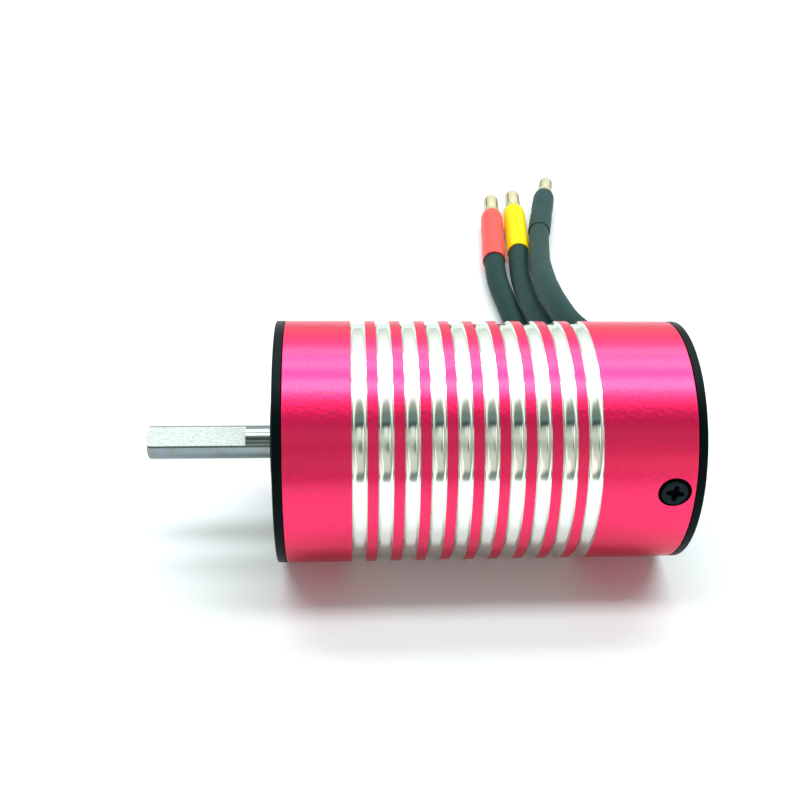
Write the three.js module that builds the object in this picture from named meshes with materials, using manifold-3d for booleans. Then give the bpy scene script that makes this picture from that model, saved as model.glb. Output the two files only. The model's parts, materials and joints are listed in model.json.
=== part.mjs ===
// A four-pole brushless motor with a fixed, screwed can and the shaft turning inside it.
// Millimetres. The motor lies on its side: X runs along the shaft, output end towards -X, +Z is up.
// The origin is on the surface it lies on, midway along its length and straight below its axis.
import * as THREE from 'three';
import { mergeVertices } from 'three/addons/utils/BufferGeometryUtils.js';
import Module from 'manifold-3d';

const wasm = await Module();
wasm.setup();

// Body
const bodyDiameter = 36;
const bodyLength = 60;
const canWall = 2;
const frontFlange = 1.3;
const rearFlange = 1.25;
const edgeBreak = 0.25;

// Cooling grooves turned into the can, each a shallow arc in section
const grooveCount = 10;
const firstGroove = 10.8;
const groovePitch = 3.6;
const grooveWidth = 2.1;
const grooveDepth = 0.45;

// Shaft
const shaftDiameter = 5;
const shaftReach = 19;
const shaftFlatLength = 14.3;
const shaftFlatDepth = 0.55;
const shaftChamfer = 0.4;
const shaftRearInset = 0.6;
const shaftFlatElevation = 64.5;

// Endbells
const frontPlate = 4.2;
const rearPlate = 2.4;
const frontLip = 1.8;
const rearLip = 1.9;
const spigotWall = 2.1;
const frontSpigot = 6.2;
const rearSpigot = 6.9;
const hubWall = 1.8;
const bossDiameter = 15;
const bossHeight = 0.8;
const shaftHoleClearance = 1;

// Front mounting holes, M3
const mountCircle = 25;
const mountHoleCount = 4;
const mountHoleDiameter = 2.5;

// Rear retaining screws, M2 countersunk, at equal angles from the one on the near side
const screwCount = 3;
const screwInset = 4.35;
const screwElevation = 13.65;
const screwHead = 3.8;
const screwHole = 4.7;
const screwHeadHeight = 1.2;
const screwThread = 2;
const screwLength = 3.9;
const screwSink = 0.25;
const screwHeadRim = 0.2;
const screwCross = 0.6;
const screwCrossDepth = 0.6;

// Ball bearings, 5 x 13 x 4
const bearingOuter = 13;
const bearingWidth = 4;
const ballDiameter = 2;
const ballCount = 7;
const raceLand = 0.35;
const raceFlat = 0.7;
const cageWidth = 0.6;
const cageDepth = 0.7;
const shieldThickness = 0.25;
const washerThickness = 0.2;
const washerWidth = 1.2;
const washerInset = 0.3;
const washerWave = 0.12;
const washerWaves = 3;

// Stator
const slotCount = 12;
const yoke = 2.1;
const slotDepth = 2.6;
const toothTip = 0.7;
const toothWidth = 2.6;
const slotMouth = 1.5;
const insulatorThickness = 0.8;
const endTurn = 1.9;
const barWidth = 2.5;
const turnOverlap = 0.35;
const coilPitch = 3;

// Rotor
const airGap = 0.55;
const bandThickness = 0.35;
const magnetThickness = 3;
const magnetCount = 4;
const magnetJoint = 0.3;
const balanceRing = 1.3;
const spacerWall = 0.9;

// Leads, their sleeves and the bullet plugs, with the grommet that they leave through
const leadDiameter = 4.5;
const leadSpacing = 5.6;
const leadExitInset = 5.1;
const grommetLip = 0.75;
const sleeveDiameter = 5.1;
const sleeveWall = 0.3;
const sleeveTaper = 1.5;
const bulletDiameter = 3.5;
const bulletReach = 9;
const bulletCup = 7;
const bulletShoulder = 2;
const bulletNose = 1.3;
const bulletTip = 1.8;

// Clearances
const fit = 0.06;
const seat = 0.05;
const cutGap = 0.3;
const raceGap = 0.1;

// How far a cutting shape passes the wall that it cuts
const overrun = 1;

// Facets
const roundSides = 32;
const ringSides = 18;
const holeSides = 12;
const wireSides = 10;
const arcSides = 8;
const ballSides = 8;
const weldDistance = 1e-4;

// The leads' routes, chosen by hand: from inside the grommet to the near end of each sleeve,
// then the sleeve's far end.
const leads = {
  a: {
    colour: 'red',
    points: [
      [34.4, 12.6, 9.1], [34.4, 18.1, 7.8], [32.9, 25.5, 6.3], [30.2, 33, 4.9], [27.6, 41, 3.5],
      [25.4, 49.5, 2.6], [23.9, 58.5, 2.25], [23.2, 66.5, 2.25], [22.8, 75, 2.3], [23, 83.5, 2.55],
    ],
    sleeveTo: [24.9, 105, 2.55],
  },
  b: {
    colour: 'yellow',
    points: [
      [34.4, 13.9, 14.6], [34.4, 19.4, 13.2], [33, 27.5, 11.7], [30.6, 35.5, 10.6], [28.7, 43.5, 9.3],
      [27.6, 52, 7.7], [27.4, 60.5, 5.9], [27.5, 69, 4.3], [28, 78, 3.1], [29, 87.4, 2.55],
    ],
    sleeveTo: [30.5, 107.5, 2.55],
  },
  c: {
    colour: 'black',
    points: [
      [34.4, 15.2, 20], [34.4, 20.8, 18.7], [32.8, 27.5, 17.8], [30.6, 34.5, 16.9], [29.6, 43.5, 15.4],
      [29.6, 53, 13.4], [30.3, 62.5, 11], [31.2, 72, 8.7], [32.4, 81, 6.5], [33.6, 88.5, 4.9],
      [34.9, 95.8, 3.4],
    ],
    sleeveTo: [39.2, 116, 2.55],
  },
};
const leadSteps = 12;

// Stations along the axis, from the front mounting face
const bodyRadius = bodyDiameter / 2;
const canBore = bodyRadius - canWall;
const canFront = frontFlange + seat;
const canRear = bodyLength - rearFlange - seat;
const shaftRadius = shaftDiameter / 2;
const bearingRadius = bearingOuter / 2;
const spigotRadius = canBore - fit;
const spigotBore = spigotRadius - spigotWall;
const frontSpigotEnd = frontFlange + frontSpigot;
const rearSpigotStart = bodyLength - rearFlange - rearSpigot;
const frontBearing = frontLip;
const rearPocket = bodyLength - rearLip;
const rearBearing = rearPocket - 2 * seat - washerThickness - 2 * washerWave - bearingWidth;
const windingRoom = insulatorThickness + 2 * endTurn + 4 * cutGap;
const stackFront = frontSpigotEnd + windingRoom;
const stackRear = rearSpigotStart - windingRoom;
const statorRadius = canBore - fit;
const slotBottom = statorRadius - yoke;
const slotTop = slotBottom - slotDepth;
const statorBore = slotTop - toothTip;
const outerTurn = slotBottom - cutGap / 2 - turnOverlap;
const bandRadius = statorBore - airGap;
const magnetRadius = bandRadius - bandThickness - seat;
const coreRadius = magnetRadius - magnetThickness;
const ballCircle = (shaftRadius + bearingRadius) / 2;
const screwStation = bodyLength - screwInset;
const leadStation = bodyLength - leadExitInset;
const restHeight = bodyRadius * Math.cos(Math.PI / roundSides);
const midLength = (bodyLength - shaftReach) / 2;

// Finishes
const finish = (color, roughness, metalness) => new THREE.MeshStandardMaterial({
  color, roughness, metalness, flatShading: true,
});
const anodised = finish(0xe8265f, 0.4, 0.8);
const blackAnodised = finish(0x14181a, 0.45, 0.6);
const blackSteel = finish(0x101214, 0.4, 0.7);
const groundSteel = finish(0xa9abac, 0.3, 1);
const bearingSteel = finish(0xc4c6c8, 0.2, 1);
const lamination = finish(0x5a5f66, 0.5, 0.9);
const copper = finish(0xb5622c, 0.35, 1);
const slotPaper = finish(0xe9e4d2, 0.7, 0);
const magnetPlate = finish(0x8f959b, 0.3, 1);
const kevlar = finish(0xc9b458, 0.6, 0);
const brass = finish(0xc8a64a, 0.3, 1);
const silicone = finish(0x2b3133, 0.6, 0);
const blackRubber = finish(0x1b1d1f, 0.8, 0);
const gold = finish(0xdcc88a, 0.25, 1);
const sleeves = {
  red: finish(0xe0443f, 0.5, 0), yellow: finish(0xffd400, 0.5, 0), black: finish(0x2e3638, 0.55, 0),
};

// Solids
function weld(geometry) {
  const plain = geometry.index ? geometry.toNonIndexed() : geometry.clone();
  for (const name of Object.keys(plain.attributes)) {
    if (name !== 'position') plain.deleteAttribute(name);
  }
  const welded = mergeVertices(plain, weldDistance);
  const index = welded.index.array;
  const kept = [];
  for (let i = 0; i < index.length; i += 3) {
    const [a, b, c] = [index[i], index[i + 1], index[i + 2]];
    if (a !== b && b !== c && c !== a) kept.push(a, b, c);
  }
  welded.setIndex(kept);
  return welded;
}

function toSolid(geometry) {
  const welded = weld(geometry);
  return new wasm.Manifold(new wasm.Mesh({
    numProp: 3,
    vertProperties: new Float32Array(welded.attributes.position.array),
    triVerts: new Uint32Array(welded.index.array),
  }));
}

function toGeometry(solid) {
  const mesh = solid.getMesh();
  const geometry = new THREE.BufferGeometry();
  geometry.setAttribute('position', new THREE.BufferAttribute(mesh.vertProperties, 3));
  geometry.setIndex(new THREE.BufferAttribute(mesh.triVerts, 1));
  return geometry;
}

const cutAway = (geometry, cutters) => toGeometry(
  cutters.reduce((solid, cutter) => solid.subtract(toSolid(cutter)), toSolid(geometry)),
);
const joined = (geometries) => toGeometry(
  geometries.slice(1).reduce((solid, next) => solid.add(toSolid(next)), toSolid(geometries[0])),
);

// A closed [radius, station] profile, walked outwards then along +X, turned about the X axis
function turned(profile, sides = roundSides) {
  const points = profile.map(([r, x]) => new THREE.Vector2(r, x));
  points.push(points[0].clone());
  return new THREE.LatheGeometry(points, sides, Math.PI / sides).rotateZ(-Math.PI / 2);
}

const tube = (inner, outer, from, to, sides = ringSides) => turned(
  [[inner, from], [outer, from], [outer, to], [inner, to]],
  sides,
);
const rod = (radius, from, to, sides = holeSides) => turned(
  [[0, from], [radius, from], [radius, to], [0, to]],
  sides,
);

// Something built along +X from the axis, turned to stand out radially at an angle above -Y
function radial(geometry, elevation, station) {
  const out = new THREE.Vector3(0, -Math.cos(elevation), Math.sin(elevation));
  const along = new THREE.Vector3(1, 0, 0);
  const across = new THREE.Vector3().crossVectors(out, along);
  const place = new THREE.Matrix4().makeBasis(out, along, across);
  return geometry.applyMatrix4(place).translate(station, 0, 0);
}

const radians = (degrees) => degrees * Math.PI / 180;
const screwAngles = Array.from({ length: screwCount }, (_, i) => (
  radians(screwElevation + i * 360 / screwCount)
));
const leadAngle = radians(screwElevation + 180);

// Can
function canGrooves() {
  const radius = (grooveWidth ** 2 / 4 + grooveDepth ** 2) / (2 * grooveDepth);
  const half = Math.asin(grooveWidth / 2 / radius);
  const centre = bodyRadius - grooveDepth + radius;
  const points = [];
  for (let i = 0; i < grooveCount; i += 1) {
    const middle = firstGroove + grooveWidth / 2 + i * groovePitch;
    for (const turn of [-1, -0.4, 0.4, 1]) {
      points.push([centre - radius * Math.cos(turn * half), middle + radius * Math.sin(turn * half)]);
    }
  }
  return points;
}

const leadWindow = (margin) => {
  const half = leadSpacing + leadDiameter / 2 + grommetLip + margin;
  const depth = leadDiameter / 2 + grommetLip + margin;
  const inside = Math.sqrt(spigotBore ** 2 - half ** 2) - overrun;
  const outside = bodyRadius + overrun;
  const block = new THREE.BoxGeometry(outside - inside, 2 * depth, 2 * half);
  return radial(block.translate((inside + outside) / 2, 0, 0), leadAngle, leadStation);
};

function can() {
  const shell = turned([
    [canBore, canFront], [bodyRadius, canFront], ...canGrooves(), [bodyRadius, canRear], [canBore, canRear],
  ]);
  const seatRadius = bodyRadius - screwSink;
  const sinks = screwAngles.map((angle) => radial(turned([
    [0, canBore - overrun], [screwThread / 2 + cutGap, canBore - overrun],
    [screwThread / 2 + cutGap, seatRadius - screwHeadHeight],
    [screwHead / 2 + cutGap, seatRadius - screwHeadRim], [screwHole / 2, seatRadius - screwHeadRim],
    [screwHole / 2, bodyRadius + overrun],
    [0, bodyRadius + overrun],
  ], holeSides), angle, screwStation));
  const slot = leadWindow(cutGap);
  return cutAway(shell, [...sinks, slot, slot.clone().translate(rearFlange, 0, 0)]);
}

// Endbells
function frontEndbell() {
  const hubRadius = bearingRadius + hubWall;
  const bell = turned([
    [shaftRadius + shaftHoleClearance, -bossHeight], [bossDiameter / 2, -bossHeight], [bossDiameter / 2, 0],
    [bodyRadius - edgeBreak, 0], [bodyRadius, edgeBreak], [bodyRadius, frontFlange],
    [spigotRadius, frontFlange], [spigotRadius, frontSpigotEnd], [spigotBore, frontSpigotEnd],
    [spigotBore, frontPlate], [hubRadius, frontPlate], [hubRadius, frontBearing + bearingWidth],
    [bearingRadius + fit, frontBearing + bearingWidth], [bearingRadius + fit, frontBearing - seat],
    [shaftRadius + shaftHoleClearance, frontBearing - seat],
  ]);
  const holes = Array.from({ length: mountHoleCount }, (_, i) => {
    const angle = (i + 0.5) * 2 * Math.PI / mountHoleCount;
    const hole = rod(mountHoleDiameter / 2, -overrun, frontPlate + overrun);
    return hole.translate(0, mountCircle / 2 * Math.cos(angle), mountCircle / 2 * Math.sin(angle));
  });
  return cutAway(bell, holes);
}

function rearEndbell() {
  const hubRadius = bearingRadius + hubWall;
  const plateInside = bodyLength - rearPlate;
  const bell = turned([
    [bearingRadius + fit, rearBearing], [hubRadius, rearBearing], [hubRadius, plateInside],
    [spigotBore, plateInside], [spigotBore, rearSpigotStart], [spigotRadius, rearSpigotStart],
    [spigotRadius, bodyLength - rearFlange], [bodyRadius, bodyLength - rearFlange],
    [bodyRadius, bodyLength - edgeBreak], [bodyRadius - edgeBreak, bodyLength],
    [shaftRadius + shaftHoleClearance, bodyLength], [shaftRadius + shaftHoleClearance, rearPocket],
    [bearingRadius + fit, rearPocket],
  ]);
  const taps = screwAngles.map((angle) => radial(
    rod(screwThread / 2 + cutGap / 2, spigotBore - overrun, bodyRadius),
    angle,
    screwStation,
  ));
  const slot = leadWindow(cutGap);
  return cutAway(bell, [...taps, slot, slot.clone().translate(-rearFlange, 0, 0)]);
}

function rearScrew(angle) {
  const top = bodyRadius - screwSink;
  const body = turned([
    [0, top - screwLength], [screwThread / 2, top - screwLength], [screwThread / 2, top - screwHeadHeight],
    [screwHead / 2, top - screwHeadRim], [screwHead / 2, top], [0, top],
  ], holeSides);
  const recess = [[1, 0], [0, 1]].map(([y, z]) => new THREE.BoxGeometry(
    2 * screwCrossDepth,
    screwCross + y * (screwHead / 2 - screwCross / 2),
    screwCross + z * (screwHead / 2 - screwCross / 2),
  ).translate(top, 0, 0));
  return radial(cutAway(body, recess), angle, screwStation);
}

// Bearings. The balls are carried by the cage, and neither ring touches them.
function raceProfile(landRadius, bottomRadius, from) {
  const middle = from + bearingWidth / 2;
  const half = ballDiameter / 2;
  return [[landRadius, middle - half], [bottomRadius, middle - raceFlat / 2],
    [bottomRadius, middle + raceFlat / 2], [landRadius, middle + half]];
}

function bearingOuterRing(from) {
  const bottom = ballCircle + ballDiameter / 2 + raceGap;
  const race = raceProfile(bottom - raceLand, bottom, from).reverse();
  return turned([
    [bearingRadius, from], [bearingRadius, from + bearingWidth], [bottom - raceLand, from + bearingWidth],
    ...race, [bottom - raceLand, from],
  ], ringSides);
}

function bearingInnerRing(from) {
  const bottom = ballCircle - ballDiameter / 2 - raceGap;
  const race = raceProfile(bottom + raceLand, bottom, from);
  return turned([
    [shaftRadius + fit, from], [bottom + raceLand, from], ...race,
    [bottom + raceLand, from + bearingWidth], [shaftRadius + fit, from + bearingWidth],
  ], ringSides);
}

function bearingCage(from) {
  const middle = from + bearingWidth / 2;
  const ring = tube(
    ballCircle - cageWidth / 2,
    ballCircle + cageWidth / 2,
    middle + ballDiameter / 2 - cageDepth / 2,
    middle + ballDiameter / 2 + cageDepth / 2,
  );
  const balls = Array.from({ length: ballCount }, (_, i) => {
    const angle = i * 2 * Math.PI / ballCount;
    const ball = new THREE.SphereGeometry(ballDiameter / 2, ballSides, ballSides / 2);
    return ball.translate(middle, ballCircle * Math.cos(angle), ballCircle * Math.sin(angle));
  });
  return joined([ring, ...balls]);
}

function bearingShield(from) {
  const outer = ballCircle + ballDiameter / 2 + raceGap - raceLand - fit;
  const inner = ballCircle - ballDiameter / 2 - raceGap + raceLand + cutGap;
  return tube(inner, outer, from, from + shieldThickness);
}

function waveWasher() {
  const from = rearBearing + bearingWidth + seat + washerWave;
  const outer = bearingRadius - washerInset;
  const ring = tube(outer - washerWidth, outer, from, from + washerThickness);
  const place = ring.attributes.position;
  for (let i = 0; i < place.count; i += 1) {
    const angle = Math.atan2(place.getZ(i), place.getY(i));
    place.setX(i, place.getX(i) + washerWave * Math.sin(washerWaves * angle));
  }
  return ring;
}

// Stator: one lamination outline, pushed along the axis
function laminationShape() {
  const polar = (r, angle) => new THREE.Vector2(r * Math.cos(angle), r * Math.sin(angle));
  const shape = new THREE.Shape();
  const inside = new THREE.Path();
  const rim = Array.from({ length: roundSides }, (_, i) => (
    polar(statorRadius, (i + 0.5) * 2 * Math.PI / roundSides)
  ));
  shape.setFromPoints(rim);
  const bore = [];
  for (let i = 0; i < slotCount; i += 1) {
    const middle = i * 2 * Math.PI / slotCount;
    const half = (r) => Math.PI / slotCount - Math.asin(toothWidth / 2 / r);
    const mouth = Math.asin(slotMouth / 2 / statorBore);
    const neck = Math.asin(slotMouth / 2 / slotTop);
    bore.push(
      polar(statorBore, middle - mouth), polar(slotTop, middle - neck),
      polar(slotTop, middle - half(slotTop)), polar(slotBottom, middle - half(slotBottom)),
      polar(slotBottom, middle),
      polar(slotBottom, middle + half(slotBottom)), polar(slotTop, middle + half(slotTop)),
      polar(slotTop, middle + neck), polar(statorBore, middle + mouth),
    );
  }
  inside.setFromPoints(bore);
  shape.holes.push(inside);
  return shape;
}

// An outline drawn in the YZ plane, pushed along +X
const uprightPlane = new THREE.Matrix4().set(0, 0, 1, 0, 1, 0, 0, 0, 0, 1, 0, 0, 0, 0, 0, 1);
const pushed = (shape, from, to) => new THREE.ExtrudeGeometry(shape, {
  depth: to - from, bevelEnabled: false, steps: 1, curveSegments: arcSides / 2,
}).applyMatrix4(uprightPlane).translate(from, 0, 0);

const stator = (from, to) => pushed(laminationShape(), from, to);

// A coil is two bars lying in slots, joined over the stack's ends by arcs. Coils that cross take
// turns: one passes outside, close to the stack, and the next passes over it, further out.
function coil(firstSlot, layer) {
  const slotAngle = 2 * Math.PI / slotCount;
  const barIn = slotTop + cutGap;
  const arcIn = layer === 0 ? outerTurn : barIn;
  const barOut = layer === 0 ? slotBottom - cutGap / 2 : outerTurn - cutGap;
  const near = insulatorThickness + seat + cutGap + layer * (endTurn + cutGap);
  const far = near + endTurn;
  const arcOut = canBore - 2 * cutGap - seat;
  const from = stackFront - far;
  const to = stackRear + far;
  const bars = [firstSlot, firstSlot + coilPitch].map((slot) => {
    const bar = new THREE.BoxGeometry(to - from, barOut - barIn, barWidth);
    return bar.translate((from + to) / 2, (barIn + barOut) / 2, 0).rotateX(slot * slotAngle);
  });
  const reach = Math.asin(barWidth / 2 / arcOut);
  const start = firstSlot * slotAngle - reach;
  const end = (firstSlot + coilPitch) * slotAngle + reach;
  const arc = new THREE.Shape();
  arc.absarc(0, 0, arcOut, start, end, false);
  arc.absarc(0, 0, arcIn, end, start, true);
  const ends = [pushed(arc, from, stackFront - near), pushed(arc, stackRear + near, to)];
  return joined([...bars, ...ends]);
}

// Rotor
function shaft() {
  const rear = bodyLength - shaftRearInset;
  const bar = turned([
    [0, -shaftReach], [shaftRadius - shaftChamfer, -shaftReach], [shaftRadius, shaftChamfer - shaftReach],
    [shaftRadius, rear - shaftChamfer], [shaftRadius - shaftChamfer, rear], [0, rear],
  ], ringSides);
  const cutter = new THREE.BoxGeometry(shaftFlatLength + shaftRadius, shaftDiameter, shaftDiameter);
  cutter.translate(
    (shaftFlatLength - shaftRadius) / 2 - shaftReach,
    0,
    shaftDiameter - shaftFlatDepth,
  ).rotateX(radians(90 - shaftFlatElevation));
  return cutAway(bar, [cutter]);
}

function magnet(index) {
  const span = 2 * Math.PI / magnetCount;
  const joint = magnetJoint / 2 / coreRadius;
  const arc = new THREE.Shape();
  const [start, end] = [index * span + joint, (index + 1) * span - joint];
  arc.absarc(0, 0, magnetRadius, start, end, false);
  arc.absarc(0, 0, coreRadius + fit, end, start, true);
  return pushed(arc, stackFront, stackRear);
}

// Lead parts
const leadLine = (lead) => new THREE.CatmullRomCurve3(
  lead.points.map((p) => new THREE.Vector3(...p)),
  false,
  'centripetal',
);

function leadTube(lead) {
  const section = new THREE.Shape();
  section.absarc(0, 0, leadDiameter / 2, 0, 2 * Math.PI, false);
  return new THREE.ExtrudeGeometry(section, {
    steps: leadSteps, curveSegments: wireSides / 2, extrudePath: leadLine(lead),
  });
}

function grommet() {
  const reach = leadDiameter / 2 + grommetLip + overrun;
  const [from, to] = [leadStation - reach, leadStation + reach];
  const shell = tube(spigotBore + fit, bodyRadius - cutGap, from, to, roundSides);
  const block = toSolid(shell).intersect(toSolid(leadWindow(0)));
  const cores = [-1, 0, 1].map((i) => radial(
    rod(leadDiameter / 2 + cutGap, 0, bodyRadius + overrun).translate(0, 0, i * leadSpacing),
    leadAngle,
    leadStation,
  ));
  return toGeometry(cores.reduce((solid, core) => solid.subtract(toSolid(core)), block));
}

const sleeveLength = (lead) => (
  new THREE.Vector3(...lead.sleeveTo).distanceTo(new THREE.Vector3(...lead.points.at(-1)))
);

// The bullet's cup lies inside the sleeve and its pin stands out of it
function alongSleeve(geometry, lead) {
  const start = new THREE.Vector3(...lead.points.at(-1));
  const line = new THREE.Vector3(...lead.sleeveTo).sub(start).normalize();
  const turn = new THREE.Quaternion().setFromUnitVectors(new THREE.Vector3(1, 0, 0), line);
  return geometry.applyQuaternion(turn).translate(...start.toArray());
}

function sleeve(lead) {
  const outer = sleeveDiameter / 2;
  const mouth = bulletDiameter / 2 + cutGap;
  const end = sleeveLength(lead);
  return alongSleeve(turned([
    [outer - sleeveWall, cutGap], [outer, cutGap], [outer, end - sleeveTaper], [mouth + sleeveWall, end],
    [mouth, end], [outer - sleeveWall, end - sleeveTaper],
  ], holeSides), lead);
}

function bullet(lead) {
  const cup = sleeveDiameter / 2 - sleeveWall - cutGap;
  const pin = bulletDiameter / 2;
  const tip = sleeveLength(lead) + bulletReach;
  const shoulder = sleeveLength(lead) - bulletShoulder;
  const noseDepth = pin - bulletTip / 2;
  const nose = [0, Math.PI / 4, Math.PI / 2].map((turn) => [
    pin - noseDepth * (1 - Math.cos(turn)), tip - bulletNose * (1 - Math.sin(turn)),
  ]);
  return alongSleeve(turned([
    [0, shoulder - bulletCup], [cup, shoulder - bulletCup], [cup, shoulder], [pin, shoulder],
    ...nose, [0, tip],
  ], holeSides), lead);
}

// Assembly
const model = new THREE.Group();
const motor = new THREE.Group();
motor.position.set(-midLength, 0, restHeight);
model.add(motor);

function add(parent, name, geometry, material) {
  const mesh = new THREE.Mesh(geometry, material);
  mesh.name = name;
  parent.add(mesh);
}

add(motor, 'can', can(), anodised);
add(motor, 'front_endbell', frontEndbell(), blackAnodised);
add(motor, 'rear_endbell', rearEndbell(), blackAnodised);
screwAngles.forEach((angle, i) => add(motor, `rear_screw_${i + 1}`, rearScrew(angle), blackSteel));
add(motor, 'lead_grommet', grommet(), blackRubber);

add(motor, 'stator_core', stator(stackFront, stackRear), lamination);
add(motor, 'front_insulator', stator(stackFront - seat - insulatorThickness, stackFront - seat), slotPaper);
add(motor, 'rear_insulator', stator(stackRear + seat, stackRear + seat + insulatorThickness), slotPaper);
const phases = ['a1', 'b1', 'c1', 'a2', 'b2', 'c2'];
phases.forEach((phase, i) => add(motor, `coil_${phase}`, coil(2 * i + 1, i % 2), copper));

for (const [end, from] of [['front', frontBearing], ['rear', rearBearing]]) {
  add(motor, `${end}_bearing_outer_ring`, bearingOuterRing(from), bearingSteel);
  add(motor, `${end}_bearing_inner_ring`, bearingInnerRing(from), bearingSteel);
  add(motor, `${end}_bearing_cage`, bearingCage(from), bearingSteel);
  const innerShield = from + bearingWidth - shieldThickness - seat;
  add(motor, `${end}_bearing_outer_shield`, bearingShield(from + seat), bearingSteel);
  add(motor, `${end}_bearing_inner_shield`, bearingShield(innerShield), bearingSteel);
}
add(motor, 'wave_washer', waveWasher(), bearingSteel);

const coreBore = shaftRadius + fit;
add(motor, 'shaft', shaft(), groundSteel);
add(motor, 'rotor_core', tube(coreBore, coreRadius, stackFront, stackRear), lamination);
for (let i = 0; i < magnetCount; i += 1) add(motor, `magnet_${i + 1}`, magnet(i), magnetPlate);
const band = tube(bandRadius - bandThickness, bandRadius, stackFront, stackRear, roundSides);
add(motor, 'magnet_band', band, kevlar);
const rings = {
  front: [stackFront - seat - balanceRing, stackFront - seat],
  rear: [stackRear + seat, stackRear + seat + balanceRing],
};
for (const [end, [from, to]] of Object.entries(rings)) {
  add(motor, `${end}_balance_ring`, tube(coreBore, magnetRadius - cutGap, from, to), brass);
}
const spacers = {
  front: [frontBearing + bearingWidth + seat, rings.front[0] - seat],
  rear: [rings.rear[1] + seat, rearBearing - seat],
};
for (const [end, [from, to]] of Object.entries(spacers)) {
  add(motor, `${end}_spacer`, tube(coreBore, coreBore + spacerWall, from, to), brass);
}

for (const [name, lead] of Object.entries(leads)) {
  add(model, `lead_${name}`, leadTube(lead), silicone);
  add(model, `sleeve_${lead.colour}`, sleeve(lead), sleeves[lead.colour]);
  add(model, `bullet_${name}`, bullet(lead), gold);
}

export default model;
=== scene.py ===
# A four-pole brushless motor lying on a white floor: a pink anodised can with ten bright turned
# grooves, black endbells, a ground steel shaft, and three silicone leads with bullet plugs.
import json
import math

import bmesh
import bpy
from mathutils import Matrix, Vector

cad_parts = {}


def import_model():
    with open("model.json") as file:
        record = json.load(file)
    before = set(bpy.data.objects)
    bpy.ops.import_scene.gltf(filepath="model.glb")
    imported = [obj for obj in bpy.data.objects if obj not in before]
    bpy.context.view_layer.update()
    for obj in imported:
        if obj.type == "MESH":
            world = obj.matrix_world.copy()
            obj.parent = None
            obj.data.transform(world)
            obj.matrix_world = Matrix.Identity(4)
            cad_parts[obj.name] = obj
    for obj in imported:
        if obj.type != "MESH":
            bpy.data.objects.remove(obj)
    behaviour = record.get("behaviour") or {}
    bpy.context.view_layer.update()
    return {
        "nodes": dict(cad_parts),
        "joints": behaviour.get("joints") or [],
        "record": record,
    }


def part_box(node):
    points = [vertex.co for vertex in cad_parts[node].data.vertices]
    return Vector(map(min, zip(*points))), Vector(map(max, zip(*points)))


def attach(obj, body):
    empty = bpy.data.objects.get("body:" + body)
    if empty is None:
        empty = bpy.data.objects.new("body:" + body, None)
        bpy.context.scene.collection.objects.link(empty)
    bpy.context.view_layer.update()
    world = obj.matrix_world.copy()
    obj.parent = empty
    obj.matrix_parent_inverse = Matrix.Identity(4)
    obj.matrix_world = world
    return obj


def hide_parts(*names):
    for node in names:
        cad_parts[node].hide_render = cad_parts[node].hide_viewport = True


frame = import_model()

# Sizes in metres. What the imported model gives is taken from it.
MM = 0.001
NODES = frame["nodes"]
MOUNTS = {mount["name"]: Vector(mount["pos_m"]) for mount in frame["record"]["mounts"]}
AXIS_HEIGHT = frame["joints"][0]["pos_m"][2]
FRONT = MOUNTS["front_face"].x
REAR = MOUNTS["rear_face"].x
CAN_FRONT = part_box("can")[0].x
CAN_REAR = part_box("can")[1].x
SHAFT_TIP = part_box("shaft")[0].x
SHAFT_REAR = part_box("shaft")[1].x
SPIGOT_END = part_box("front_endbell")[1].x
SPIGOT_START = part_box("rear_endbell")[0].x

BODY_RADIUS = 18 * MM
CAN_BORE = 16 * MM
SPIGOT_RADIUS = 15.94 * MM
SPIGOT_BORE = 13.84 * MM
EDGE = 0.2 * MM
BELL_EDGE = 0.3 * MM
OVERRUN = 1 * MM

GROOVES = 10
FIRST_GROOVE = FRONT + 10.8 * MM
GROOVE_PITCH = 3.6 * MM
GROOVE_WIDTH = 2.1 * MM
GROOVE_DEPTH = 0.45 * MM
GROOVE_FLATNESS = 4

SHAFT_RADIUS = 2.5 * MM
SHAFT_CHAMFER = 0.45 * MM
FLAT_LENGTH = 14.3 * MM
FLAT_DEPTH = 0.55 * MM
FLAT_ELEVATION = math.radians(64.5)
SHAFT_HOLE = 3.5 * MM

BEARING_RADIUS = 6.5 * MM
BEARING_FIT = 0.06 * MM
FLANGE_GAP = 0.05 * MM
HUB_RADIUS = 8.3 * MM
BOSS_RADIUS = 7.5 * MM
BOSS_HEIGHT = 0.8 * MM
FRONT_PLATE = 4.2 * MM
REAR_PLATE = 2.4 * MM
BEARING_DEPTH = 1.75 * MM
REAR_BEARING_DEPTH = 1.9 * MM
BEARING_WIDTH = 4 * MM
MOUNT_CIRCLE = 12.5 * MM
MOUNT_HOLES = 4
THREAD_MINOR = 1.25 * MM
THREAD_MAJOR = 1.5 * MM
THREAD_PITCH = 0.5 * MM

SCREWS = 3
SCREW_STATION = REAR - 4.35 * MM
SCREW_ELEVATION = math.radians(13.65)
SCREW_SINK = 0.12 * MM
SCREW_HEAD = 1.9 * MM
SCREW_HEAD_HEIGHT = 1.2 * MM
SCREW_THREAD = 1 * MM
SCREW_TAP = SCREW_THREAD + 0.15 * MM
SCREW_LENGTH = 3.9 * MM
SCREW_HOLE = 2.3 * MM
SCREW_SEAT = 1.3 * MM
SCREW_RIM = 0.22 * MM
# The screws sit off the middle of their holes, as in the photograph. Holes and heads are a little
# wider along the can than round it.
SCREW_SHIFT = (-0.24 * MM, 0.1 * MM)
SCREW_OVAL = (1.02, 0.96)
HOLE_OVAL = (1.05, 0.95)
CROSS_REACH = 1.32 * MM
CROSS_WIDTH = 0.78 * MM
CROSS_DEPTH = 0.75 * MM
CROSS_LEAN = 0.62
CROSS_TURN = math.radians(-8)

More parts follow.
